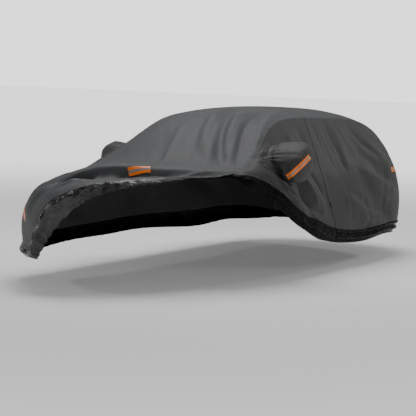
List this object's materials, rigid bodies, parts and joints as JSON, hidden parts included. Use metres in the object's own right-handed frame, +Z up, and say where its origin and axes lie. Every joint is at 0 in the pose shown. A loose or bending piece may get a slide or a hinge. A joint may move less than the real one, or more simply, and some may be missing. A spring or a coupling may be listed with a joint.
{
  "type": "car cover",
  "caption": "Fitted cloth cover for a compact car, with mirror pockets, a zip in its left side and an elastic hem band, pulled up and turned back at its left front.",
  "frame": {"origin": "underside of the cover's roof, above the middle of the car it fits, where it rests on that car", "axes": "+Z up, +Y towards the cover's tail, +X towards its left side; the ground lies 1.447 m below the origin"},
  "size_m": [2.1914, 4.4892, 1.2552],
  "materials": {
    "panel_cloth": "matte, dark grey stretch cloth of the centre panel",
    "side_cloth": "matte, darker grey cloth of the sides and mirror pockets",
    "band_cloth": "black, slightly shiny gathered hem band",
    "strip_tape": "orange with a silver-grey reflective middle",
    "zip_black": "black zip"
  },
  "bodies": {
    "root": {"centre_panel": "panel_cloth", "right_panel": "side_cloth", "left_front_panel": "side_cloth", "left_rear_panel": "side_cloth", "left_mirror_pocket": "side_cloth", "right_mirror_pocket": "side_cloth", "hem_band_front": "band_cloth", "hem_band_left": "band_cloth", "hem_band_tail": "band_cloth", "hem_band_right": "band_cloth", "front_strip": "strip_tape", "corner_strip": "strip_tape", "tail_strip": "strip_tape", "left_mirror_strip": "strip_tape", "right_mirror_strip": "strip_tape", "zip_tape_front": "zip_black", "zip_tape_rear": "zip_black", "zip_chain": "zip_black", "zip_slider": "zip_black", "zip_pull": "zip_black"}
  },
  "joints": []
}
